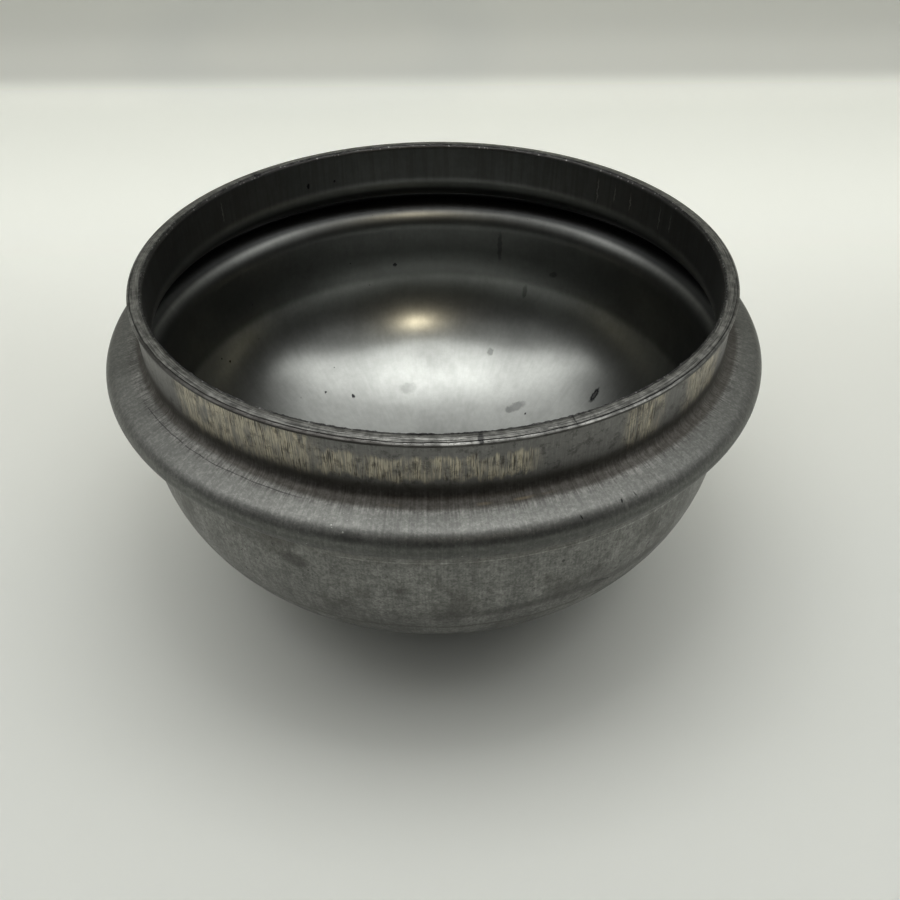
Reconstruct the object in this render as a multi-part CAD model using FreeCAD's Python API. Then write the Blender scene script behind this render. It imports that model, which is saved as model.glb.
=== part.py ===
"""Deep drawn sheet-steel cup: domed bottom, rolled bead, plain collar, pinch-trimmed rim.

The cup is one turned section.  It stands on the small flat in the middle of its domed bottom,
with the mouth up: +Z is the axis of the cup, and the origin is the middle of that flat.
From the bottom up the wall runs through the flat, a shallow crown, a rounder knuckle, a short
straight body, a bead folded outwards between two sloping flanks, and a collar that is a little
narrower than the body and ends in a small lip below the trimmed edge.
"""

import FreeCAD, Part
import math
import os

# ---- driving dimensions, in millimetres and degrees ----
wall = 2.7                      # sheet thickness, but for the neck between bead and collar

body_diameter = 144.6           # outside of the straight body
bottom_flat_diameter = 24.0     # flat left by the nose of the drawing punch
crown_radius = 70.0             # outside radius of the dome next to the flat
knuckle_radius = 40.0           # outside radius between the crown and the straight body
body_straight = 8.25            # straight wall between the knuckle and the bead

bead_projection = 6.2           # how far the bead stands out from the body
bead_inside_radius = 1.1        # inside radius of the fold at the outer edge of the bead
bead_lower_angle = 22.0         # slope of the flank under the bead, from level
bead_upper_angle = 16.0         # slope of the flank on top of the bead, from level
bead_lower_fillet = 5.4         # outside fillet between the lower flank and the body
bead_upper_fillet = 2.0         # outside fillet between the upper flank and the collar
bead_upper_round = 7.5          # inside round over the same bend, which thins the neck a little

collar_reduction = 3.0          # how much smaller the collar's outside radius is than the body's
collar_straight = 10.97         # straight outside wall between the bead and the lip

lip_projection = 0.7            # how far the lip stands out from the collar
lip_height = 1.0                # height of the lip, up to the trimmed edge
trim_bevel_width = 1.5          # sloping outer band of the trimmed edge
trim_bevel_drop = 0.35          # how far that band falls towards the outside
trim_chamfer = 0.3              # broken inner corner of the trimmed edge

# ---- derived section sizes ----
body_radius = body_diameter / 2
collar_radius = body_radius - collar_reduction
bore_radius = collar_radius - wall
lip_radius = collar_radius + lip_projection
bead_outside_radius = bead_inside_radius + wall
bead_centre_radius = body_radius + bead_projection - bead_outside_radius
lower_slope = math.radians(bead_lower_angle)
upper_slope = math.radians(bead_upper_angle)
upper_normal = 90 - bead_upper_angle


def flank_rise(fold_radius, straight_radius, fillet, slope):
    """Height between the centre of the bead's fold and the centre of the fillet beside it.

    The fillet runs into a straight wall of straight_radius, and a flank of this slope joins the two.
    """
    radius_change = bead_centre_radius - straight_radius - fillet
    return (fold_radius + fillet + radius_change * math.sin(slope)) / math.cos(slope)


flat_radius = bottom_flat_diameter / 2
crown_to_knuckle = body_radius - knuckle_radius - flat_radius
crown_rise = math.sqrt((crown_radius - knuckle_radius) ** 2 - crown_to_knuckle ** 2)
dome_top = crown_radius - crown_rise
body_top = dome_top + body_straight
bead_height = body_top + flank_rise(bead_outside_radius, body_radius, bead_lower_fillet, lower_slope)
collar_bottom = bead_height + flank_rise(
    bead_outside_radius, collar_radius, bead_upper_fillet, upper_slope)
bore_bottom = bead_height + flank_rise(bead_inside_radius, bore_radius, bead_upper_round, upper_slope)
lip_bottom = collar_bottom + collar_straight
rim_height = lip_bottom + lip_height


def point(radius, height):
    """A point of the section, in the XZ plane."""
    return FreeCAD.Vector(radius, 0, height)


def line(start, end):
    return Part.LineSegment(start, end).toShape()


def arc(centre, radius, start_angle, end_angle):
    """An arc about centre; angles are in degrees, from outwards (+X) towards up (+Z)."""
    def on_arc(degrees):
        angle = math.radians(degrees)
        return centre + point(radius * math.cos(angle), radius * math.sin(angle))
    middle_angle = (start_angle + end_angle) / 2
    return Part.Arc(on_arc(start_angle), on_arc(middle_angle), on_arc(end_angle)).toShape()


def joined(edges):
    """Edges in order, with a straight line across each gap between one edge and the next."""
    chain = [edges[0]]
    for edge in edges[1:]:
        chain.append(line(chain[-1].lastVertex(True).Point, edge.firstVertex(True).Point))
        chain.append(edge)
    return chain


def wall_arcs(inset):
    """The round stretches of one side of the wall, from the flat bottom up to the bead's fold.

    inset is 0 for the outside and the wall thickness for the inside.
    """
    crown_angle = -math.degrees(math.atan2(crown_rise, crown_to_knuckle))
    lower_normal = bead_lower_angle - 90
    return [
        arc(point(flat_radius, crown_radius), crown_radius - inset, -90, crown_angle),
        arc(point(body_radius - knuckle_radius, dome_top), knuckle_radius - inset, crown_angle, 0),
        arc(point(body_radius + bead_lower_fillet, body_top),
            bead_lower_fillet + inset, 180, 180 + lower_normal),
        arc(point(bead_centre_radius, bead_height),
            bead_outside_radius - inset, lower_normal, upper_normal),
    ]


def wall_side(inset, neck, top):
    """One side of the wall as a chain of edges, from the axis up to the point top on the collar.

    neck is the round stretch of this side between the bead's upper flank and the collar.
    """
    flat = line(point(0, inset), point(flat_radius, inset))
    crown, knuckle, *bead = wall_arcs(inset)
    collar = line(neck.lastVertex(True).Point, top)
    return [flat, crown, *joined([knuckle, *bead, neck]), collar]


def lip_and_trimmed_edge():
    """From the top of the collar's outside, over the lip, to the inside of the collar."""
    corners = [
        point(collar_radius, lip_bottom),
        point(lip_radius, lip_bottom),
        point(lip_radius, rim_height - trim_bevel_drop),
        point(lip_radius - trim_bevel_width, rim_height),
        point(bore_radius + trim_chamfer, rim_height),
        point(bore_radius, rim_height - trim_chamfer),
    ]
    return [line(start, end) for start, end in zip(corners, corners[1:])]


def make_cup():
    """The section of the wall, turned round the axis."""
    outside_neck = arc(point(collar_radius + bead_upper_fillet, collar_bottom),
                       bead_upper_fillet, 180 + upper_normal, 180)
    inside_neck = arc(point(bore_radius + bead_upper_round, bore_bottom),
                      bead_upper_round, 180 + upper_normal, 180)
    outside = wall_side(0, outside_neck, point(collar_radius, lip_bottom))
    inside = wall_side(wall, inside_neck, point(bore_radius, rim_height - trim_chamfer))
    on_axis = line(point(0, 0), point(0, wall))
    section = Part.Wire([*outside, *lip_and_trimmed_edge(), *reversed(inside), on_axis])
    return Part.Face(section).revolve(point(0, 0), FreeCAD.Vector(0, 0, 1), 360)


os.makedirs("parts", exist_ok=True)
make_cup().exportStep("parts/cup.step")
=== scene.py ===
import math

import bpy
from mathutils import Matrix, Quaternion, Vector


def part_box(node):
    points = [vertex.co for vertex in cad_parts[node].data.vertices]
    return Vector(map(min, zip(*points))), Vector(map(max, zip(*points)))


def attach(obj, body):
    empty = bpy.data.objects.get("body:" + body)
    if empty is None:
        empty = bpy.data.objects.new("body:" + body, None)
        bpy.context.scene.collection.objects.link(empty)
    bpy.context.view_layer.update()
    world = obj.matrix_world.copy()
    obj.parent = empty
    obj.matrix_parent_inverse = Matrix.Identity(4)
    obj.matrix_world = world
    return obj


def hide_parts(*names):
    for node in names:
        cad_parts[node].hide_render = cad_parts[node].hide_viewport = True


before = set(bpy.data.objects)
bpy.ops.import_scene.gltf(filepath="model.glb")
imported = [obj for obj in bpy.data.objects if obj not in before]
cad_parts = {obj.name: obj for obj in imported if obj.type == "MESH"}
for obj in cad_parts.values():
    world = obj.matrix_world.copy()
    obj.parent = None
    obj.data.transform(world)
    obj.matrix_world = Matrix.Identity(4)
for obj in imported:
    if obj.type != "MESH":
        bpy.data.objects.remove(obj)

bl_info = {
    "name": "Deep drawn cup",
    "version": (1, 0, 0),
    "blender": (4, 5, 0),
    "location": "View3D > Sidebar > Drawn Cup",
    "description": "Dresses the packed drawn steel cup with its wall, trimmed edge and stage",
    "category": "Object",
}

CUP_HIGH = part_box("cup")[1]     # corner of the CAD box, as high as the rim and as far as the bead
MM = 0.001
ROUND_STEPS = 560               # faces round the wall
BURR_STEPS = 1800               # faces round the burr, which is far finer than the wall
WELD = 0.002 * MM               # vertices closer than this are one
INSIDE, EDGE = 1, 2             # places in the wall's list of finishes, after the outside's

# straight pieces in each arc of the section
OUTSIDE_STEPS = {"crown": 14, "knuckle": 14, "lower_fillet": 10, "bead": 18, "neck": 8}
INSIDE_STEPS = {"crown": 14, "knuckle": 14, "lower_fillet": 14, "bead": 8, "neck": 14}


# ---- sizes and colours

def length(name, description, millimetres):
    """A size property, given in millimetres and kept in metres."""
    return bpy.props.FloatProperty(
        name=name, description=description, default=millimetres * MM, min=0.0, unit="LENGTH",
        subtype="DISTANCE", precision=5)


def angle(name, description, degrees):
    """An angle property, given in degrees and kept in radians."""
    return bpy.props.FloatProperty(
        name=name, description=description, default=math.radians(degrees), unit="ROTATION",
        subtype="ANGLE")


def srgb(hex_value):
    """Linear colour of an sRGB hex value, such as "6a6862"."""
    def channel(start):
        value = int(hex_value[start:start + 2], 16) / 255
        return value / 12.92 if value <= 0.04045 else ((value + 0.055) / 1.055) ** 2.4
    return tuple(channel(start) for start in (0, 2, 4))


def colour(name, description, hex_value):
    """A colour property, given as sRGB hex and kept linear."""
    return bpy.props.FloatVectorProperty(
        name=name, description=description, default=srgb(hex_value), size=3, min=0.0, max=1.0,
        subtype="COLOR")


class CupSizes(bpy.types.PropertyGroup):
    """Section of the drawn wall, which stands between the CAD box's floor and rim."""
    wall: length("Wall", "Sheet thickness", 2.7)
    body_radius: length("Body radius", "Outside radius of the straight body", 72.3)
    flat_radius: length("Flat radius", "Radius of the flat that the cup stands on", 12.0)
    crown_radius: length("Crown radius", "Outside radius of the dome next to the flat", 70.0)
    knuckle_radius: length("Knuckle radius", "Outside radius between crown and body", 40.0)
    body_straight: length("Straight body", "Straight wall between knuckle and bead", 8.25)
    bead_projection: length("Bead projection", "How far the bead stands out from the body", 6.2)
    bead_inside: length("Bead inside radius", "Inside radius of the fold at the bead's edge", 1.1)
    bead_lower_angle: angle("Lower flank", "Slope of the flank under the bead", 22.0)
    bead_upper_angle: angle("Upper flank", "Slope of the flank on top of the bead", 16.0)
    lower_fillet: length("Lower fillet", "Outside fillet between the bead and the body", 5.4)
    upper_fillet: length("Upper fillet", "Outside fillet between the bead and the collar", 2.0)
    upper_round: length("Upper round", "Inside round over the same bend", 7.5)
    collar_reduction: length("Collar reduction", "Body radius less collar radius", 3.0)
    collar_straight: length("Straight collar", "Straight wall between bead and lip", 10.97)
    lip_projection: length("Lip projection", "How far the lip stands out", 0.7)
    lip_height: length("Lip height", "Height of the lip", 1.0)
    break_width: length("Broken inner edge", "Width of the torn chamfer inside the mouth", 0.5)
    bevel_width: length("Bevel width", "Outer band of the trimmed edge, which falls away", 1.5)
    bevel_drop: length("Bevel drop", "How far the outer band of the trimmed edge falls", 0.35)
    roll_width: length("Rolled lip", "Outermost band, which the die rolled over", 0.58)
    burr_width: length("Burr width", "Width of the torn ridge along the inner edge", 0.34)
    burr_height: length("Burr height", "How far that ridge stands up", 0.12)


class CupFinish(bpy.types.PropertyGroup):
    """Colours of the metal, of what lies on it, and of the painted shade laid on it."""
    steel: colour("Steel", "Drawn low-carbon steel", "767673")
    inside_steel: colour("Inside steel", "Steel wiped clean by the punch", "8e908d")
    sheared_steel: colour("Sheared steel", "Bare metal of the trimmed edge", "6e6e6b")
    soap_film: colour("Soap film", "Dry drawing soap with dirt in it", "57544f")
    heat_stain: colour("Heat stain", "Straw-brown stain on the collar", "cfc6b0")
    # dark oil and dirt, which is also laid as painted shade and painted shadow
    smudge: colour("Smudge", "Dark oil and dirt", "16161a")
    # the bead's steel is a darker tone of the same steel: painted shade that dims its highlight
    bead_steel: colour("Bead steel", "Steel that the beading tool rubbed", "686966")
    collar_steel: colour("Collar steel", "Dry steel of the collar", "898886")
    bared_steel: colour("Bared steel", "Places rubbed bare", "a2a29e")
    # baked soap, which is also laid as painted shade in the fold above the bead
    baked_soap: colour("Baked soap", "Soap burnt in the folds", "3f3a34")
    # the same soap, laid on the foot of the collar together with painted shade
    thin_soap: colour("Thin soap", "The same soap up the collar", "45423d")
    gilt: colour("Gilt", "Golden edge of the baked soap", "ad9b73")
    dry_dirt: colour("Dry dirt", "Grey dirt in scuffs and smears", "454341")
    dome_dirt: colour("Dome dirt", "Dirty soap on the dome", "4b4945")
    packed_dirt: colour("Packed dirt", "Dirt pressed into pits", "3c3a38")
    chip_core: colour("Chip core", "Middle of the chip inside", "555554")


class StageSizes(bpy.types.PropertyGroup):
    """Camera, lamps and the plain surroundings."""
    camera_distance: length("Camera distance", "From the middle of the mouth", 216.9)
    camera_height: angle("Camera height", "Angle above the mouth's level", 27.85)
    camera_roll: angle("Camera roll", "Tilt of the camera about its view", -0.17)
    aim_side: length("Aim sideways", "Where the camera looks, to the right of the axis", 3.65)
    aim_below: length("Aim below", "How far below the mouth the camera looks", 60.4)
    lens: bpy.props.FloatProperty(
        name="Lens", description="Focal length in mm", default=36.03, unit="CAMERA")
    floor_colour: colour("Floor", "Pale matt card of floor and backdrop", "e2e4de")
    flag_colour: colour("Flag", "Dark cloth before the cup", "2a2a2c")
    lamp_colour: colour("Lamps", "Light of tent and room", "fffffd")
    warm_colour: colour("Warm lamp", "Small lamp far in front", "ffefce")
    sweep_distance: length("Sweep distance", "From the axis to where the floor starts to rise", 330.0)
    sweep_radius: length("Sweep radius", "Bend between floor and backdrop", 60.0)


# ---- outline of the section

def arc_points(centre, radius, start, end, steps):
    """Points (radius, height) along an arc; angles in degrees from outwards towards up."""
    points = []
    for step in range(steps + 1):
        turn = math.radians(start + (end - start) * step / steps)
        points.append((centre[0] + radius * math.cos(turn), centre[1] + radius * math.sin(turn)))
    return points


def with_straights(points, guard=0.6 * MM, long_run=4.5 * MM):
    """Adds a point near both ends of each long straight stretch, which keeps its shading flat."""
    result = [points[0]]
    for start, end in zip(points, points[1:]):
        run = math.dist(start, end)
        if run > long_run:
            for part in (guard / run, 1 - guard / run):
                result.append((start[0] + (end[0] - start[0]) * part,
                               start[1] + (end[1] - start[1]) * part))
        result.append(end)
    return result


class Section:
    """The wall's section, worked out from the sizes as a chain from the flat up to the rim."""

    def __init__(self, sizes):
        self.sizes = sizes
        self.body = sizes.body_radius
        self.collar = self.body - sizes.collar_reduction
        self.bore = self.collar - sizes.wall
        self.lip = self.collar + sizes.lip_projection
        self.fold = sizes.bead_inside + sizes.wall
        self.bead = self.body + sizes.bead_projection - self.fold
        self.knuckle_centre = self.body - sizes.knuckle_radius
        across = self.knuckle_centre - sizes.flat_radius
        rise = math.sqrt((sizes.crown_radius - sizes.knuckle_radius) ** 2 - across ** 2)
        self.crown_turn = -math.degrees(math.atan2(rise, across))
        self.dome_top = sizes.crown_radius - rise
        self.body_top = self.dome_top + sizes.body_straight
        self.bead_height = self.body_top + self.flank_rise(
            self.fold, self.body, sizes.lower_fillet, sizes.bead_lower_angle)
        self.collar_bottom = self.bead_height + self.flank_rise(
            self.fold, self.collar, sizes.upper_fillet, sizes.bead_upper_angle)
        self.bore_bottom = self.bead_height + self.flank_rise(
            sizes.bead_inside, self.bore, sizes.upper_round, sizes.bead_upper_angle)
        self.lip_bottom = self.collar_bottom + sizes.collar_straight
        self.rim = self.lip_bottom + sizes.lip_height
        self.lip_blend = 0.3 * MM               # the bend from the collar into the lip
        self.roll = self.lip - sizes.roll_width
        self.edge = self.bore + sizes.break_width
        self.break_bottom = self.rim - 1.3 * sizes.break_width

    def flank_rise(self, fold, straight, fillet, slope):
        """Height between the bead's centre and a fillet's centre, joined by a flank of this slope."""
        change = self.bead - straight - fillet
        return (fold + fillet + change * math.sin(slope)) / math.cos(slope)

    def side(self, inset):
        """One side of the wall, from the flat up to the collar."""
        sizes = self.sizes
        low = math.degrees(sizes.bead_lower_angle) - 90
        high = 90 - math.degrees(sizes.bead_upper_angle)
        if inset == 0:
            steps, straight, bend, bend_height = (
                OUTSIDE_STEPS, self.collar, sizes.upper_fillet, self.collar_bottom)
        else:
            steps, straight, bend, bend_height = (
                INSIDE_STEPS, self.bore, sizes.upper_round, self.bore_bottom)
        return [
            *arc_points((sizes.flat_radius, sizes.crown_radius), sizes.crown_radius - inset,
                        -90, self.crown_turn, steps["crown"]),
            *arc_points((self.knuckle_centre, self.dome_top), sizes.knuckle_radius - inset,
                        self.crown_turn, 0, steps["knuckle"])[1:],
            *arc_points((self.body + sizes.lower_fillet, self.body_top), sizes.lower_fillet + inset,
                        180, 180 + low, steps["lower_fillet"]),
            *arc_points((self.bead, self.bead_height), self.fold - inset, low, high, steps["bead"]),
            *arc_points((straight + bend, bend_height), bend, 180 + high, 180, steps["neck"]),
        ]

    def trimmed_edge(self):
        """Over the lip, from under it to the inside of the collar."""
        sizes = self.sizes
        soft = 0.16 * MM                        # rounding of the lip's corners
        groove = 0.07 * MM                      # half of the groove that the rolled band leaves
        corner = 0.1 * MM                       # rounding of the level land's two edges
        sag = 0.3 * corner
        drop, blend = sizes.bevel_drop, self.lip_blend
        rim, lip, low = self.rim, self.lip, self.lip_bottom
        land = lip - sizes.bevel_width
        return [
            (self.collar, low - blend),
            (self.collar + 0.4 * blend, low - blend / 6),
            (lip - soft, low),
            (lip, low + soft),
            (lip, rim - drop - 2 * soft),
            (lip - 0.3 * soft, rim - drop - 0.7 * soft),
            (lip - 1.2 * soft, rim - drop),
            (self.roll, rim - 0.62 * drop),
            (self.roll - groove, rim - 0.75 * drop),
            (self.roll - 2 * groove, rim - 0.4 * drop),
            (land, rim - sag),
            (land - 2 * corner, rim),
            (self.edge + corner, rim),
            (self.edge, rim - sag),
            (self.bore + 0.4 * sizes.break_width, (rim + self.break_bottom) / 2),
            (self.bore, self.break_bottom),
        ]

    def closed_wall(self):
        """The whole outline, from the axis outside, over the edge, to the axis inside."""
        wall = self.sizes.wall
        outside = with_straights([(0, 0), *self.side(0),
                                  (self.collar, self.lip_bottom - self.lip_blend)])
        inside = with_straights([(0, wall), *self.side(wall), (self.bore, self.break_bottom)])
        return [*outside, *self.trimmed_edge()[1:-1], *reversed(inside)]


# ---- modelling helpers

def deselect_everything():
    """Leaves edit mode and clears the selection, so that each step starts the same way."""
    if bpy.context.object and bpy.context.object.mode != "OBJECT":
        bpy.ops.object.mode_set(mode="OBJECT")
    bpy.ops.object.select_all(action="DESELECT")


def turned(name, outline, steps, closed=False):
    """A solid of revolution: one vertex is extruded along the outline, and the chain is turned."""
    deselect_everything()
    first = outline[0]
    bpy.ops.mesh.primitive_plane_add(size=MM, location=(first[0], 0, first[1]))
    piece = bpy.context.object
    piece.name = name
    piece.data.name = name
    bpy.ops.object.mode_set(mode="EDIT")
    bpy.ops.mesh.select_mode(type="VERT")
    bpy.ops.mesh.select_all(action="SELECT")
    bpy.ops.mesh.merge(type="CENTER")
    last = first
    for point in outline[1:] + ([first] if closed else []):
        step = (point[0] - last[0], 0, point[1] - last[1])
        bpy.ops.mesh.extrude_vertices_move(TRANSFORM_OT_translate={"value": step})
        last = point
    bpy.ops.object.mode_set(mode="OBJECT")
    bpy.ops.object.transform_apply()
    modifier = piece.modifiers.new("turning", "SCREW")
    modifier.steps = modifier.render_steps = steps
    modifier.use_merge_vertices = True
    modifier.merge_threshold = WELD
    bpy.ops.object.modifier_apply(modifier=modifier.name)
    bpy.ops.object.mode_set(mode="EDIT")
    bpy.ops.mesh.select_all(action="SELECT")
    bpy.ops.mesh.remove_doubles(threshold=WELD)
    bpy.ops.mesh.normals_make_consistent(inside=False)
    bpy.ops.object.mode_set(mode="OBJECT")
    return piece


def select_only(piece):
    deselect_everything()
    piece.select_set(True)
    bpy.context.view_layer.objects.active = piece


def roughened(piece, texture_name, grain, strength):
    """Moves a piece's surface in and out by a cloud texture of this grain, and applies it."""
    texture = bpy.data.textures.new(texture_name, type="CLOUDS")
    texture.noise_scale = grain
    modifier = piece.modifiers.new(texture_name, "DISPLACE")
    modifier.texture = texture
    modifier.texture_coords = "LOCAL"
    modifier.strength = strength
    select_only(piece)
    bpy.ops.object.modifier_apply(modifier=modifier.name)


# ---- node helpers

def add_node(tree, kind, settings=None, links=None):
    """Adds a node, sets its attributes and inputs, and links its inputs to other nodes' outputs."""
    node = tree.nodes.new(kind)
    for key, value in (settings or {}).items():
        if isinstance(key, str) and hasattr(node, key) and key not in node.inputs:
            setattr(node, key, value)
        else:
            node.inputs[key].default_value = value
    for key, source in (links or {}).items():
        tree.links.new(source, node.inputs[key])
    return node


def colour4(value):
    return (value[0], value[1], value[2], 1.0)


def plain_material(name, base, roughness):
    material = bpy.data.materials.new(name)
    material.use_nodes = True
    shader = material.node_tree.nodes["Principled BSDF"]
    shader.inputs["Base Color"].default_value = colour4(base)
    shader.inputs["Roughness"].default_value = roughness
    return material


class Finish:
    """One metal finish. It starts as bare metal, and each step lays colour, dullness or relief on it.

    Steps read the place on the cup: turn in degrees from the front towards the right, radius and
    height in metres. A mask is a value from 0 to 1. Patterns take their sizes in mm.
    """

    def __init__(self, name, colour_value, roughness):
        self.material = plain_material(name, colour_value, roughness)
        self.tree = self.material.node_tree
        self.shader = self.tree.nodes["Principled BSDF"]
        self.shader.inputs["Metallic"].default_value = 1.0
        self.place = add_node(self.tree, "ShaderNodeTexCoord").outputs["Object"]
        parts = add_node(self.tree, "ShaderNodeSeparateXYZ", links={0: self.place})
        self.x, self.y, self.height = parts.outputs[:3]
        square_x = self.math("MULTIPLY", self.x, self.x)
        self.radius = self.math("SQRT", self.math("MULTIPLY_ADD", self.y, self.y, square_x))
        self.turn = self.math("DEGREES", self.math("ARCTAN2", self.x,
                                                   self.math("MULTIPLY", self.y, -1.0)))
        # way up the wall from the axis: on the flatter bottom only the radius grows
        self.climb = self.math("MULTIPLY_ADD", self.radius, 0.6, self.height)
        self.colour = colour4(colour_value)
        self.roughness = roughness
        self.relief = 0.0

    # values

    def put(self, kind, settings, values):
        """Adds a node whose inputs are numbers, colours or other nodes' outputs."""
        links = {}
        for key, value in values.items():
            if isinstance(value, bpy.types.NodeSocket):
                links[key] = value
            elif value is not None:
                settings[key] = value
        return add_node(self.tree, kind, settings, links)

    def math(self, operation, first, second=None, third=None):
        return self.put("ShaderNodeMath", {"operation": operation},
                        {0: first, 1: second, 2: third}).outputs[0]

    def ramp(self, value, low, high, to_low=0.0, to_high=1.0):
        """Rises smoothly from to_low at low to to_high at high; low may be the larger one."""
        sockets = {"Value": value, "From Min": low, "From Max": high,
                   "To Min": to_low, "To Max": to_high}
        return self.put("ShaderNodeMapRange", {"interpolation_type": "SMOOTHSTEP"}, sockets).outputs[0]

    def band(self, value, low, high, soft):
        """1 between low and high, and 0 beyond a soft edge."""
        return self.both(self.ramp(value, low - soft, low), self.ramp(value, high + soft, high))

    def sector(self, left, right, soft):
        """1 between two turns in degrees, and 0 beyond a soft edge."""
        return self.band(self.turn, left, right, soft)

    def both(self, *masks):
        """1 where all the masks are 1."""
        result = masks[0]
        for mask in masks[1:]:
            result = self.math("MULTIPLY", result, mask)
        return result

    def either(self, *masks):
        """1 where any of the masks is 1."""
        result = masks[0]
        for mask in masks[1:]:
            result = self.math("MAXIMUM", result, mask)
        return result

    def offset(self, value, amount, mask):
        """The value moved by amount where the mask, such as a noise, is 1, and back where it is 0."""
        return self.math("MULTIPLY_ADD", self.math("SUBTRACT", mask, 0.5), amount, value)

    def faded(self, pattern, share):
        """The pattern as it is where share is 1, and level at its middle where share is 0."""
        return self.math("MULTIPLY_ADD", share, self.math("SUBTRACT", pattern, 0.5), 0.5)

    # patterns

    def noise(self, grain, detail=2.0, roughness=0.5):
        """Even mottling with lumps of this size in mm."""
        settings = {"Scale": 1 / (grain * MM), "Detail": detail, "Roughness": roughness}
        return self.put("ShaderNodeTexNoise", settings, {"Vector": self.place}).outputs[0]

    def streaks(self, round_size, climb_size, detail=2.0):
        """Noise with lumps of one size in mm round the cup, and of another up its wall."""
        spread = CUP_HIGH[0] / (round_size * MM)
        towards = [self.math("MULTIPLY", self.math("DIVIDE", part, self.radius), spread)
                   for part in (self.x, self.y)]
        up = self.math("DIVIDE", self.climb, climb_size * MM)
        vector = self.put("ShaderNodeCombineXYZ", {}, {0: towards[0], 1: towards[1], 2: up}).outputs[0]
        return self.put("ShaderNodeTexNoise", {"Scale": 1.0, "Detail": detail},
                        {"Vector": vector}).outputs[0]

    def mottled(self, grain, low, high, detail=2.0, roughness=0.5):
        """Patches of noise: 0 where the noise is under low, and 1 where it is over high."""
        return self.ramp(self.noise(grain, detail, roughness), low, high)

    def streaked(self, round_size, climb_size, low, high, detail=2.0, least=0.0):
        """Streaks sharpened in the same way; least is the mask's value between them."""
        return self.ramp(self.streaks(round_size, climb_size, detail), low, high, least, 1.0)

    def specks(self, spacing, size, share):
        """Round specks of one size; share is how many of the evenly strewn places have one."""
        cells = self.put("ShaderNodeTexVoronoi", {"Scale": 1 / (spacing * MM)}, {"Vector": self.place})
        chance = add_node(self.tree, "ShaderNodeSeparateColor",
                          links={0: cells.outputs["Color"]}).outputs[0]
        near = self.ramp(cells.outputs["Distance"], size / spacing, 0.6 * size / spacing)
        return self.both(near, self.ramp(chance, share + 0.02, share))

    def ragged_place(self, grain, amount):
        """Places moved by up to half of amount, in mm, which frays the edge of a mark."""
        wander = self.put("ShaderNodeTexNoise", {"Scale": 1 / (grain * MM), "Detail": 3.0},
                          {"Vector": self.place})
        centred = self.put("ShaderNodeVectorMath", {"operation": "SUBTRACT", 1: (0.5, 0.5, 0.5)},
                           {0: wander.outputs["Color"]}).outputs[0]
        reach = (amount * MM,) * 3
        return self.put("ShaderNodeVectorMath", {"operation": "MULTIPLY_ADD", 1: reach},
                        {0: centred, 2: self.place}).outputs[0]

    def mark(self, ragged, turn, radius, height, wide, tall, tilt=0.0):
        """1 inside one mark at a place on the wall; turn and tilt in degrees, the rest in mm."""
        bearing = math.radians(turn)
        centre = (radius * math.sin(bearing) * MM, -radius * math.cos(bearing) * MM, height * MM)
        depth = max(wide, tall)
        local = self.put("ShaderNodeMapping", {"vector_type": "TEXTURE", "Location": centre,
                                               "Rotation": (0, math.radians(tilt), bearing),
                                               "Scale": (wide / 2 * MM, depth * MM, tall / 2 * MM)},
                         {"Vector": ragged}).outputs[0]
        far = self.put("ShaderNodeVectorMath", {"operation": "LENGTH"}, {0: local}).outputs["Value"]
        return self.ramp(far, 1.05, 0.55)

    def marks(self, ragged, *places):
        """1 inside any of these marks, each given as mark() takes it."""
        return self.either(*(self.mark(ragged, *place) for place in places))

    # layers

    def tint(self, mask, colour_value, share):
        """Lays a colour where the mask is 1, as thickly as share says."""
        mixer = self.put("ShaderNodeMix", {"data_type": "RGBA"}, {
            0: self.math("MULTIPLY", mask, share), 6: self.colour, 7: colour4(colour_value)})
        self.colour = mixer.outputs[2]

    def brighten(self, mask, low, high):
        """Multiplies the colour by low where the mask is 0, and by high where it is 1."""
        factor = self.ramp(mask, 0.0, 1.0, low, high)
        linked = isinstance(self.colour, bpy.types.NodeSocket)
        self.colour = self.put("ShaderNodeVectorMath", {"operation": "SCALE"}, {
            0: self.colour if linked else self.colour[:3], "Scale": factor}).outputs[0]

    def dull(self, mask, amount):
        """Adds this much roughness where the mask is 1."""
        self.roughness = self.math("MULTIPLY_ADD", mask, amount, self.roughness)

    def lift(self, mask, millimetres):
        """Raises the surface by this much where the mask is 1."""
        self.relief = self.math("MULTIPLY_ADD", mask, millimetres * MM, self.relief)

    def finished(self):
        """Links the layers to the shader, and gives back the material."""
        for name, value in (("Base Color", self.colour), ("Roughness", self.roughness)):
            if isinstance(value, bpy.types.NodeSocket):
                self.tree.links.new(value, self.shader.inputs[name])
        bump = self.put("ShaderNodeBump", {"Strength": 1.0, "Distance": 1.0}, {"Height": self.relief})
        self.tree.links.new(bump.outputs[0], self.shader.inputs["Normal"])
        return self.material


# ---- finishes

# A mark is given as its turn in degrees, then its radius, height, width and length in mm, then any
# tilt in degrees. Noise finer than the metal's real grit is drawn as coarse as it needs to show.

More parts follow.
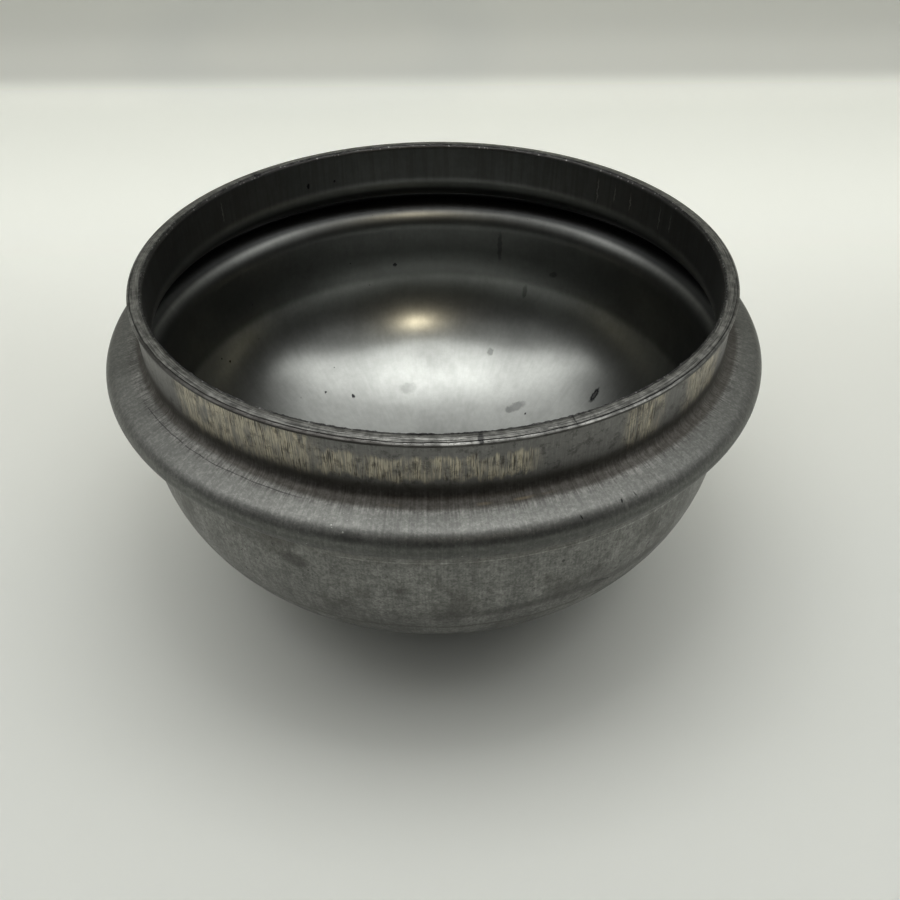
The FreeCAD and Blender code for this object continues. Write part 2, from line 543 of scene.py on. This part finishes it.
def soaped_drawn_steel(section, finish):
    """The outside as it comes off the press.

    Common name: drawn, unpickled low-carbon sheet. The sheet slid through the ring of the die under
    drawing soap, which scored fine lines up the wall and burnished the places that rubbed hardest;
    the soap baked on in the folds, and heat stained the collar straw. The eye gets a dull grey with
    a soft sheen on the bead, dark folds, brownish upright streaks, and mottling under it all. Painted
    light is laid on as well: painted shade on the bead, its nose, the folds and under the lip, a
    lighter wall below the bead, and a painted highlight along the bead's outline.
    """
    metal = Finish("soaped_drawn_steel", finish.steel, 0.47)
    ragged = metal.ragged_place(1.2, 0.9)
    below_bead = metal.ramp(metal.height, section.body_top + 4 * MM, section.body_top)
    foot = section.collar_bottom
    collar = metal.ramp(metal.height, foot - 1 * MM, foot + 1 * MM)
    bead = metal.both(metal.ramp(metal.radius, section.body, section.body + 1.5 * MM),
                      metal.ramp(metal.height, section.bead_height - 3 * MM, section.bead_height))

    # the whole outside: clouds of dried soap, and the lines that the die ring left
    clouds = metal.noise(9.0, 4.0, 0.6)
    metal.brighten(metal.ramp(clouds, 0.34, 0.66), 0.84, 1.14)
    metal.brighten(metal.mottled(1.3, 0.36, 0.64, 4.0, 0.75), 0.82, 1.16)
    metal.brighten(metal.mottled(0.5, 0.3, 0.7), 0.86, 1.14)
    lines = metal.streaked(0.42, 9.0, 0.3, 0.7)
    drawn = metal.math("MULTIPLY_ADD", below_bead, -0.75, 1.0)
    metal.brighten(metal.faded(lines, drawn), 0.76, 1.24)
    metal.brighten(metal.streaked(2.4, 26.0, 0.32, 0.68), 0.93, 1.07)
    # painted light: the wall below the bead is lighter than the same steel on the bead
    metal.brighten(below_bead, 1.0, 1.22)
    metal.lift(metal.both(lines, drawn), 0.01)
    metal.lift(metal.noise(0.4, 1.0), 0.016)
    metal.dull(metal.ramp(clouds, 0.4, 0.7), 0.07)

    # the bead: a darker steel as painted shade that dims its highlight, lighter on the left front,
    # painted shade along its nose, and burnished grain in front
    nose = metal.ramp(metal.height, section.bead_height + 1.2 * MM, section.bead_height - 0.2 * MM)
    glitter = metal.both(metal.specks(0.7, 0.2, 0.3), metal.mottled(7.0, 0.48, 0.64),
                         metal.sector(-20.0, 12.0, 12.0))
    metal.tint(bead, finish.bead_steel, 0.75)
    metal.brighten(metal.both(bead, metal.sector(-62.0, -18.0, 14.0)), 1.0, 1.12)
    metal.brighten(metal.both(bead, metal.mottled(0.8, 0.42, 0.64, 4.0, 0.75)), 0.92, 1.2)
    # painted shade: the bead is darker along its nose
    metal.brighten(metal.both(bead, nose), 1.0, 0.7)
    metal.brighten(metal.both(bead, glitter), 1.0, 2.6)

    # straw heat stain on the collar, in upright streaks: patches at the front, and wandering behind
    stain_height = metal.offset(metal.height, 5.0 * MM, metal.streaks(1.8, 60.0, 5.0))
    tall_patch = metal.band(stain_height, foot + 2.4 * MM, section.lip_bottom, 2.2 * MM)
    low_patch = metal.band(stain_height, foot + 3.2 * MM, section.lip_bottom - 3.6 * MM, 1.2 * MM)
    behind = metal.ramp(metal.math("ABSOLUTE", metal.turn), 75.0, 85.0)
    patches = metal.either(
        metal.both(low_patch, metal.sector(-17.0, 13.0, 4.0)),
        metal.both(tall_patch, behind, metal.mottled(16.0, 0.5, 0.62)),
        *(metal.both(tall_patch, metal.sector(left, right, soft))
          for left, right, soft in ((-45.0, -22.0, 5.0), (33.0, 38.0, 3.0), (48.0, 56.0, 4.0))))
    upright = metal.streaked(0.3, 4.5, 0.36, 0.64, 3.0, 0.2)
    lumps = metal.streaked(2.6, 6.0, 0.32, 0.56, 5.0, 0.2)
    burnt = metal.both(metal.streaked(0.26, 3.2, 0.48, 0.62, 3.0), metal.mottled(3.0, 0.38, 0.6, 3.0))
    scuffed = metal.mottled(2.2, 0.5, 0.64, 5.0, 0.75)
    metal.tint(collar, finish.collar_steel, 0.6)
    metal.tint(metal.both(patches, upright, lumps), finish.heat_stain, 0.9)
    metal.tint(metal.both(patches, burnt), finish.baked_soap, 0.75)
    metal.tint(metal.both(collar, scuffed), finish.dry_dirt, 0.5)
    metal.dull(metal.both(patches, upright), -0.04)

    # baked soap and painted shade in the fold above the bead, further out on the left, with a trace of
    # gold; the foot of the collar is darkened too, with soap and painted shade
    fold_height = metal.offset(metal.height, 1.3 * MM, metal.streaks(9.0, 60.0, 3.0))
    low_collar = metal.ramp(fold_height, foot + 3.8 * MM, foot + 0.6 * MM)
    in_fold = metal.ramp(fold_height, foot + 2.6 * MM, foot - 0.4 * MM)
    above = metal.ramp(metal.height, section.bead_height, section.bead_height + 2 * MM)
    edge = metal.offset(metal.radius, 0.6 * MM, metal.streaks(15.0, 60.0, 4.0))
    edge = metal.math("ADD", edge, metal.ramp(metal.turn, -12.0, -40.0, 0.0, 1.2 * MM))
    fold = metal.both(above, in_fold, metal.ramp(edge, section.collar + 3.2 * MM,
                                                 section.collar + 2.1 * MM))
    gilt = metal.both(above, metal.sector(-4.0, 14.0, 6.0), metal.mottled(7.0, 0.5, 0.66),
                      metal.band(edge, section.collar + 1.7 * MM, section.collar + 1.9 * MM, 0.3 * MM))
    metal.tint(metal.both(collar, low_collar), finish.thin_soap, 0.52)
    metal.tint(fold, finish.baked_soap, 0.6)
    metal.tint(gilt, finish.gilt, 0.2)
    metal.dull(fold, 0.1)

    # painted shadow under the lip, and dirt under the bead that no cloth reached
    under_lip = metal.band(metal.height, section.lip_bottom - 0.2 * MM, section.lip_bottom, 0.25 * MM)
    under_bead = metal.both(metal.mottled(5.0, 0.3, 0.6, 3.0),
                            metal.band(metal.height, section.body_top - 0.5 * MM,
                                       section.bead_height - 4 * MM, 2 * MM))
    metal.tint(under_lip, finish.smudge, 0.6)
    metal.tint(under_bead, finish.soap_film, 0.35)

    # the dome: dry soap in soft dark clouds, pits and pin specks
    dirt = metal.mottled(13.0, 0.48, 0.62, 5.0, 0.65)
    pits = metal.both(metal.mottled(0.9, 0.57, 0.66, 5.0, 0.8), metal.mottled(9.0, 0.42, 0.6))
    fine_specks = metal.both(metal.specks(1.9, 0.3, 0.3), metal.mottled(6.0, 0.45, 0.6))
    for mask, laid, share in ((dirt, finish.dome_dirt, 0.5), (pits, finish.packed_dirt, 0.6),
                              (metal.specks(4.2, 0.45, 0.4), finish.smudge, 0.6),
                              (fine_specks, finish.smudge, 0.5)):
        metal.tint(metal.both(below_bead, mask), laid, share)

    # rings that the blank holder left, and a painted highlight along the bead's outline over the body:
    # a fine bright line, pressed in as a slight groove, that falls away to both sides
    wandering = metal.offset(metal.height, 2.4 * MM, metal.noise(14.0, 2.0))
    holder_ring = metal.band(wandering, 38.0 * MM, 39.2 * MM, 1.4 * MM)
    faint_ring = metal.band(wandering, 32.2 * MM, 32.6 * MM, 0.5 * MM)
    fall = 1.6e-6                   # metres for each square degree of turn
    fallen = metal.math("MULTIPLY_ADD", metal.math("MULTIPLY", metal.turn, metal.turn), fall,
                        metal.height)
    crease = metal.both(metal.band(fallen, 55.45 * MM, 55.6 * MM, 0.14 * MM),
                        metal.sector(-14.0, 56.0, 6.0))
    metal.tint(metal.both(holder_ring, metal.sector(6.0, 42.0, 10.0)), finish.dry_dirt, 0.5)
    metal.tint(faint_ring, finish.dome_dirt, 0.5)
    metal.brighten(crease, 1.0, 1.45)
    metal.lift(crease, -0.03)

    # single marks, each named by what made it
    soft_patch = metal.marks(ragged, (-23.6, 72.3, 50.9, 7.0, 5.0))
    scuffs = metal.marks(ragged, (-14.8, 72.3, 57.0, 3.2, 0.9), (-21.4, 72.4, 58.0, 2.4, 1.4),
                         (31.6, 72.5, 58.5, 2.0, 1.1))
    nicks = metal.marks(ragged,
                        (29.2, 71.2, 38.6, 4.6, 0.3, 28.0), (30.4, 71.0, 38.2, 4.2, 0.28, 28.0),
                        (35.0, 69.3, 33.4, 4.4, 0.3, 24.0), (16.2, 70.0, 34.5, 3.2, 0.3, 8.0),
                        (20.2, 77.2, 67.6, 0.4, 0.8, 10.0), (27.0, 76.8, 67.9, 0.4, 0.9, 24.0),
                        (29.4, 76.6, 68.1, 0.35, 0.7, -20.0))
    scratch_line = metal.offset(metal.radius, 0.8 * MM, metal.noise(7.0, 3.0))
    scratch = metal.both(above, metal.band(scratch_line, section.body, section.body + 0.1 * MM,
                                           0.12 * MM),
                         metal.sector(-55.0, -24.0, 6.0), metal.mottled(2.5, 0.3, 0.44, 3.0))
    metal.tint(soft_patch, finish.packed_dirt, 0.55)
    metal.tint(scuffs, finish.bared_steel, 0.75)
    metal.tint(nicks, finish.smudge, 0.8)
    metal.tint(scratch, finish.smudge, 0.6)
    return metal.finished()


def punch_wiped_steel(section, finish):
    """The inside, which the polished punch ironed smooth.

    Common name: drawn sheet, punch side. The hard polished punch pressed the sheet from this side,
    so it kept no die lines: the eye gets an even satin sheen, a slight stain here and there, dust,
    and rougher upright streaks on the collar, which the punch did not fill.
    """
    metal = Finish("punch_wiped_steel", finish.inside_steel, 0.28)
    ragged = metal.ragged_place(1.0, 1.1)
    collar = metal.ramp(metal.height, section.collar_bottom, section.bore_bottom + 1 * MM)

    # the whole inside: slight clouds and strokes, a belt of painted shade on the wall under the bead,
    # and painted shade with more roughness from the shoulder up
    belt = metal.band(metal.height, 42 * MM, 57 * MM, 4 * MM)
    shoulder = metal.ramp(metal.height, 55 * MM, 58 * MM)
    wall = metal.ramp(metal.radius, 25 * MM, 45 * MM)
    strokes = metal.faded(metal.streaked(0.9, 26.0, 0.3, 0.7), wall)
    metal.brighten(metal.mottled(11.0, 0.32, 0.68, 4.0, 0.6), 0.93, 1.06)
    metal.brighten(metal.mottled(1.4, 0.3, 0.7, 3.0, 0.6), 0.965, 1.035)
    metal.brighten(strokes, 0.985, 1.015)
    metal.brighten(belt, 1.0, 0.5)
    metal.brighten(shoulder, 1.0, 0.82)
    metal.dull(shoulder, 0.1)

    # the collar: darkened as painted shade, with upright smears of die dirt, and a few light rubbed
    # lines
    metal.brighten(collar, 1.0, 0.38)
    metal.tint(metal.both(collar, metal.streaked(1.3, 16.0, 0.42, 0.64, 4.0)), finish.dry_dirt, 0.4)
    metal.lift(metal.both(collar, metal.streaks(0.7, 12.0)), 0.01)
    metal.dull(collar, 0.07)
    line_radius, line_width = 66.6, 0.45
    rubbed = metal.marks(ragged, *(
        (turn, line_radius, height, line_width, tall) for turn, height, tall in (
            (136.0, 77.5, 9.0), (131.0, 78.5, 6.0), (126.0, 78.0, 7.0), (116.0, 78.0, 8.0),
            (112.0, 78.5, 6.0), (-122.0, 78.5, 7.0))))
    metal.tint(rubbed, finish.bared_steel, 0.4)

    # dirt packed in the fold inside the bead, together with painted shade of the deep fold
    packed = metal.both(metal.ramp(metal.radius, section.bore, section.bore + 1.2 * MM),
                        metal.band(metal.height, section.bead_height - 3.2 * MM,
                                   section.bore_bottom - 0.8 * MM, 1.2 * MM))
    metal.tint(packed, finish.smudge, 0.8)

    # dust, drips and smudges of press oil, each where it dried
    dots = metal.marks(ragged, (-169.6, 69.4, 44.1, 1.5, 1.5), (-113.6, 67.8, 36.6, 0.8, 0.8),
                       (-115.6, 67.0, 34.3, 0.8, 0.8), (-146.4, 47.9, 13.0, 1.3, 1.1),
                       (-137.8, 51.9, 15.8, 1.0, 0.8), (-147.4, 66.6, 76.1, 1.2, 2.0),
                       (-154.6, 66.6, 75.9, 0.8, 1.2), (139.4, 43.0, 10.3, 1.0, 0.8))
    smudges = metal.marks(ragged, (144.8, 43.4, 10.8, 6.5, 2.2, 24.0), (147.0, 42.0, 10.0, 3.0, 1.4),
                          (147.6, 69.5, 45.1, 3.2, 2.2, 20.0), (154.8, 67.8, 37.5, 1.8, 5.0),
                          (161.6, 56.8, 19.8, 2.4, 2.4), (162.6, 69.6, 51.0, 1.6, 12.0))
    film = metal.marks(ragged, (-168.6, 46.1, 12.0, 7.0, 2.4))
    chip = metal.marks(ragged, (121.2, 56.7, 19.9, 2.2, 4.8, 14.0))
    chip_core = metal.marks(ragged, (121.2, 56.7, 19.9, 1.0, 2.6, 14.0))
    for mask, laid, share in ((dots, finish.smudge, 0.95), (smudges, finish.smudge, 0.42),
                              (film, finish.smudge, 0.22), (chip, finish.smudge, 0.95),
                              (chip_core, finish.chip_core, 0.8),
                              (metal.specks(7.0, 0.34, 0.45), finish.smudge, 0.7)):
        metal.tint(mask, laid, share)
    return metal.finished()


def sheared_steel(section, finish):
    """The trimmed edge, cut after drawing.

    Common name: sheared sheet edge. The trimming die cut through part of the sheet and tore the
    rest, so the eye gets a bright level land with fine lines round it, a rough darker band outside
    it, dark lines of dirt where the bands meet, and a painted shadow of the burr along the inner edge.
    """
    metal = Finish("sheared_steel", finish.sheared_steel, 0.4)
    ragged = metal.ragged_place(0.8, 0.9)
    wander = metal.offset(metal.radius, 0.5 * MM, metal.streaks(5.0, 60.0, 5.0))

    # fine lines round the land, longer patches, and pits
    lines = metal.streaked(7.0, 0.13, 0.3, 0.7, 3.0)
    pitted = metal.mottled(0.45, 0.56, 0.66, 4.0, 0.8)
    metal.brighten(lines, 0.6, 1.42)
    metal.brighten(metal.streaked(1.8, 0.9, 0.3, 0.7, 4.0), 0.72, 1.25)
    metal.tint(pitted, finish.smudge, 0.5)
    metal.lift(lines, 0.016)
    metal.lift(pitted, -0.03)

    # dark where the bands meet: painted shadow of the burr along the torn inner edge, and dark dirt at
    # the foot of the rolled lip; the lip's outer face is darker too, most of all on the left front
    torn = metal.ramp(wander, section.edge + 0.42 * MM, section.edge + 0.22 * MM)
    seam = metal.band(wander, section.roll - 0.1 * MM, section.roll, 0.1 * MM)
    second = metal.both(metal.mottled(9.0, 0.46, 0.56), metal.band(
        wander, section.roll - 0.75 * MM, section.roll - 0.7 * MM, 0.08 * MM))
    lip_face = metal.ramp(metal.height, section.lip_bottom + 0.65 * MM, section.lip_bottom + 0.5 * MM)
    dark_left = metal.both(metal.sector(-55.0, -12.0, 12.0),
                           metal.ramp(wander, section.roll - 0.3 * MM, section.roll))
    for mask, laid, share in ((torn, finish.smudge, 0.72), (seam, finish.smudge, 0.85),
                              (second, finish.smudge, 0.7), (lip_face, finish.dry_dirt, 0.6),
                              (dark_left, finish.packed_dirt, 0.7)):
        metal.tint(mask, laid, share)

    # the die's seam, a crack, a nick, and glints along the torn edge
    marks = metal.marks(ragged, (6.6, 68.9, 83.8, 1.2, 2.4, 30.0), (21.6, 67.3, 83.9, 0.4, 3.4),
                        (-134.2, 67.2, 83.9, 3.0, 1.6))
    sparkle = metal.both(metal.specks(0.8, 0.3, 0.3),
                         metal.ramp(wander, section.edge + 0.4 * MM, section.edge + 0.2 * MM))
    metal.tint(marks, finish.smudge, 0.7)
    metal.brighten(sparkle, 1.0, 4.0)
    return metal.finished()


# ---- operators

class MESH_OT_drawn_wall(bpy.types.Operator):
    """Turns the drawn wall of the cup and gives its zones their finishes"""
    bl_idname = "mesh.drawn_wall"
    bl_label = "Drawn wall"

    def execute(self, context):
        scene = context.scene
        section = Section(scene.cup_sizes)
        finish = scene.cup_finish
        slack = 0.05 * MM
        sharp_bend = math.radians(32)
        wall = turned("drawn_wall", section.closed_wall(), ROUND_STEPS)
        if abs(section.rim - CUP_HIGH[2]) > slack:
            raise RuntimeError("the wall's rim is not at the CAD solid's rim")
        select_only(wall)
        for dressed in (soaped_drawn_steel, punch_wiped_steel, sheared_steel):
            wall.data.materials.append(dressed(section, finish))
        for polygon in wall.data.polygons:
            centre = polygon.center
            radius = math.hypot(centre.x, centre.y)
            if centre.z > section.lip_bottom + 2 * slack and radius > section.bore + slack:
                polygon.material_index = EDGE
            elif self.faces_in(polygon, centre, radius, section):
                polygon.material_index = INSIDE
        bpy.ops.object.shade_smooth_by_angle(angle=sharp_bend)
        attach(wall, "root")
        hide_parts("cup")
        return {"FINISHED"}

    @staticmethod
    def faces_in(polygon, centre, radius, section):
        """True on the inside of the wall: on the collar by radius, elsewhere by the normal."""
        normal = polygon.normal
        middle = section.bore + 0.5 * section.sizes.wall
        if centre.z > section.collar_bottom:
            return radius < middle
        if centre.z <= section.body_top:
            return normal.dot(centre - Vector((0, 0, section.dome_top))) < 0
        outward = (normal.x * centre.x + normal.y * centre.y) / radius
        offset = Vector((radius - section.bead, centre.z - section.bead_height))
        in_bend = offset.length < section.fold + 0.2 * MM and offset.x > -0.5 * MM
        if in_bend:
            return outward * offset.x + normal.z * offset.y < 0
        if centre.z > section.bead_height:
            return normal.z < 0 or (outward < 0 and radius < middle + 1 * MM)
        return normal.z > 0


class MESH_OT_trim_burr(bpy.types.Operator):
    """Turns the ragged burr that the trimming die leaves inside the mouth"""
    bl_idname = "mesh.trim_burr"
    bl_label = "Trim burr"

    def execute(self, context):
        sizes = context.scene.cup_sizes
        section = Section(sizes)
        start = section.edge - 0.3 * sizes.burr_width
        # shares of the burr's width and height, round a low ridge that leans into the mouth
        ridge = ((1.0, -0.5), (0.2, -1.6), (-0.1, -0.9), (0.0, 0.1), (0.35, 0.6), (0.75, 0.3))
        sharp_bend = math.radians(50)
        burr = turned("trim_burr", [
            (start + sizes.burr_width * across, section.rim + sizes.burr_height * up)
            for across, up in ridge], BURR_STEPS, closed=True)
        roughened(burr, "torn_edge", grain=0.9 * MM, strength=0.5 * MM)
        burr.data.materials.append(bpy.data.materials["sheared_steel"])
        bpy.ops.object.shade_smooth_by_angle(angle=sharp_bend)
        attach(burr, "root")
        return {"FINISHED"}


class SCENE_OT_cup_stage(bpy.types.Operator):
    """Adds the pale floor and backdrop, the soft lamps and the camera"""
    bl_idname = "scene.cup_stage"
    bl_label = "Stage"

    def execute(self, context):
        stage = context.scene.cup_stage
        self.add_backdrop(stage)
        self.add_flag(stage)
        self.add_lamps(stage)
        self.add_world(context.scene, stage)
        self.add_camera(context.scene, stage)
        context.scene.view_settings.view_transform = "Standard"
        return {"FINISHED"}

    def add_backdrop(self, stage):
        """A floor that bends up into a backdrop, pulled from the edge of one plane."""
        width, depth, rise = 3.0, 2.0, 0.5
        floor = self.add_plane("floor_and_backdrop", (0, stage.sweep_distance - depth / 2, 0),
                               (width, depth, 1))
        middle = stage.sweep_distance - depth / 2
        for vertex in floor.data.vertices:
            vertex.select = vertex.co.y > middle
        for edge in floor.data.edges:
            edge.select = all(floor.data.vertices[index].select for index in edge.vertices)
        for polygon in floor.data.polygons:
            polygon.select = False
        bpy.ops.object.mode_set(mode="EDIT")
        bpy.ops.mesh.select_mode(type="EDGE")
        radius = stage.sweep_radius
        bends = 12
        last = (0.0, 0.0)
        for bend in range(1, bends + 1):
            turn = math.pi / 2 * bend / bends
            place = (radius * math.sin(turn), radius * (1 - math.cos(turn)))
            step = (0, place[0] - last[0], place[1] - last[1])
            bpy.ops.mesh.extrude_edges_move(TRANSFORM_OT_translate={"value": step})
            last = place
        bpy.ops.mesh.extrude_edges_move(TRANSFORM_OT_translate={"value": (0, 0, rise)})
        bpy.ops.object.mode_set(mode="OBJECT")
        bpy.ops.object.shade_smooth()
        floor.data.materials.append(self.pale_card(stage))

    @staticmethod
    def add_plane(name, place, size, rotation=(0, 0, 0)):
        """A flat sheet of this size, with its scale applied."""
        deselect_everything()
        bpy.ops.mesh.primitive_plane_add(size=1, location=(0, 0, 0), rotation=rotation)
        sheet = bpy.context.object
        sheet.name = name
        sheet.scale = size
        sheet.location = place
        bpy.ops.object.transform_apply()
        return sheet

    @staticmethod
    def pale_card(stage):
        """Common name: background card, calendered paper. The eye gets a flat matt floor, painted
        lighter behind the cup as painted light, and greyer where it bends up as painted shade."""
        card = Finish("pale_card", stage.floor_colour, 0.9)
        card.shader.inputs["Metallic"].default_value = 0.0
        behind_cup = card.ramp(card.y, 0.0, 0.28)
        foot_of_bend = card.ramp(card.height, 0.001, 0.014)
        up_the_bend = card.ramp(card.height, 0.012, 0.04)
        for mask, change in ((behind_cup, 1.45), (foot_of_bend, 0.66), (up_the_bend, 0.88)):
            card.brighten(mask, 1.0, change)
        return card.finished()

    def add_lamps(self, stage):
        """A panel under the ceiling, the roof and ring of a small light tent, and a warm lamp."""
        self.add_area("ceiling_panel", place=(0.0, 0.68, 1.3), aim=(0.0, 0.68, 0.0), size=(2.4, 2.2),
                      brightness=0.8, tint=stage.lamp_colour)
        self.add_area("tent_roof", place=(0.02, -0.028, 0.36), aim=(0.02, -0.028, 0.0),
                      size=(1.7, 0.13), brightness=1.75, tint=stage.lamp_colour)
        self.add_ring_lamp(stage, place=(0.006, -0.036, 0.27), widening=1.4, brightness=9.0)
        self.add_area("warm_lamp", place=(0.133, -0.754, 0.70), aim=(0.0, 0.0, 0.05),
                      size=(0.07, 0.05), brightness=80.0, tint=stage.warm_colour)

    @staticmethod
    def add_ring_lamp(stage, place, widening, brightness):
        """The oval ring of small lamps in the tent's roof, which the bowl mirrors."""
        deselect_everything()
        bpy.ops.mesh.primitive_torus_add(major_radius=0.043, minor_radius=0.005, major_segments=64,
                                         minor_segments=8, location=place)
        ring = bpy.context.object
        ring.name = "ring_lamp"
        ring.scale = (widening, 1.0, 1.0)
        bpy.ops.object.transform_apply()
        glow = plain_material("lamp_glow", (0, 0, 0), 1.0)
        shader = glow.node_tree.nodes["Principled BSDF"]
        shader.inputs["Emission Color"].default_value = colour4(stage.lamp_colour)
        shader.inputs["Emission Strength"].default_value = brightness
        ring.data.materials.append(glow)
        ring.visible_camera = False

    def add_flag(self, stage):
        """A dark cloth standing before the cup, behind the camera, which its front mirrors."""
        flag = self.add_plane("dark_flag", (0, -0.42, 0.20), (1.4, 0.40, 1), (math.pi / 2, 0, 0))
        flag.data.materials.append(plain_material("dark_cloth", stage.flag_colour, 1.0))
        flag.visible_camera = False

    @staticmethod
    def add_area(name, place, aim, size, brightness, tint):
        """A rectangular lamp; brightness is how bright it looks, where 1 is white."""
        lamp = bpy.data.lights.new(name, "AREA")
        lamp.shape = "RECTANGLE"
        lamp.size, lamp.size_y = size
        lamp.energy = brightness * math.pi * size[0] * size[1]
        lamp.color = tint
        holder = bpy.data.objects.new(name, lamp)
        bpy.context.scene.collection.objects.link(holder)
        holder.location = place
        holder.rotation_euler = (Vector(aim) - Vector(place)).to_track_quat("-Z", "Y").to_euler()
        holder.visible_camera = False

    @staticmethod
    def add_world(scene, stage):
        """The dim light of the room, which is paler where the camera looks straight at it."""
        dim, seen_by_camera = 0.29, 0.62
        world = bpy.data.worlds.new("pale_room")
        scene.world = world
        world.use_nodes = True
        background = world.node_tree.nodes["Background"]
        background.inputs["Color"].default_value = colour4(stage.lamp_colour)
        seen = add_node(world.node_tree, "ShaderNodeLightPath").outputs["Is Camera Ray"]
        strength = add_node(world.node_tree, "ShaderNodeMapRange",
                            {"To Min": dim, "To Max": seen_by_camera}, {"Value": seen})
        world.node_tree.links.new(strength.outputs[0], background.inputs["Strength"])

    @staticmethod
    def add_camera(scene, stage):
        """The camera, which looks down into the mouth from the front."""
        rim = CUP_HIGH[2]
        away = Vector((0, -math.cos(stage.camera_height), math.sin(stage.camera_height)))
        place = Vector((0, 0, rim)) + away * stage.camera_distance
        aim = Vector((stage.aim_side, 0, rim - stage.aim_below))
        camera = bpy.data.cameras.new("camera")
        camera.lens = stage.lens
        camera.clip_start = 0.01
        holder = bpy.data.objects.new("camera", camera)
        scene.collection.objects.link(holder)
        holder.location = place
        turn = (aim - place).to_track_quat("-Z", "Y") @ Quaternion((0, 0, 1), stage.camera_roll)
        holder.rotation_euler = turn.to_euler()
        scene.camera = holder


class VIEW3D_PT_drawn_cup(bpy.types.Panel):
    """Lists the cup's sizes, colours and steps"""
    bl_idname = "VIEW3D_PT_drawn_cup"
    bl_label = "Drawn cup"
    bl_space_type = "VIEW_3D"
    bl_region_type = "UI"
    bl_category = "Drawn Cup"

    def draw(self, context):
        layout = self.layout
        for group_name, kind in GROUPS.items():
            column = layout.column(align=True)
            for name in kind.__annotations__:
                column.prop(getattr(context.scene, group_name), name)
        for operator in OPERATORS:
            layout.operator(operator.bl_idname)


GROUPS = {"cup_sizes": CupSizes, "cup_finish": CupFinish, "cup_stage": StageSizes}
OPERATORS = (MESH_OT_drawn_wall, MESH_OT_trim_burr, SCENE_OT_cup_stage)
CLASSES = (*GROUPS.values(), *OPERATORS, VIEW3D_PT_drawn_cup)


def register():
    for item in CLASSES:
        bpy.utils.register_class(item)
    for name, kind in GROUPS.items():
        setattr(bpy.types.Scene, name, bpy.props.PointerProperty(type=kind))


def unregister():
    for name in GROUPS:
        delattr(bpy.types.Scene, name)
    for item in reversed(CLASSES):
        bpy.utils.unregister_class(item)


def main():
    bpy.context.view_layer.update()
    register()
    bpy.ops.mesh.drawn_wall()
    bpy.ops.mesh.trim_burr()
    bpy.ops.scene.cup_stage()


if __name__ == "__main__":
    main()
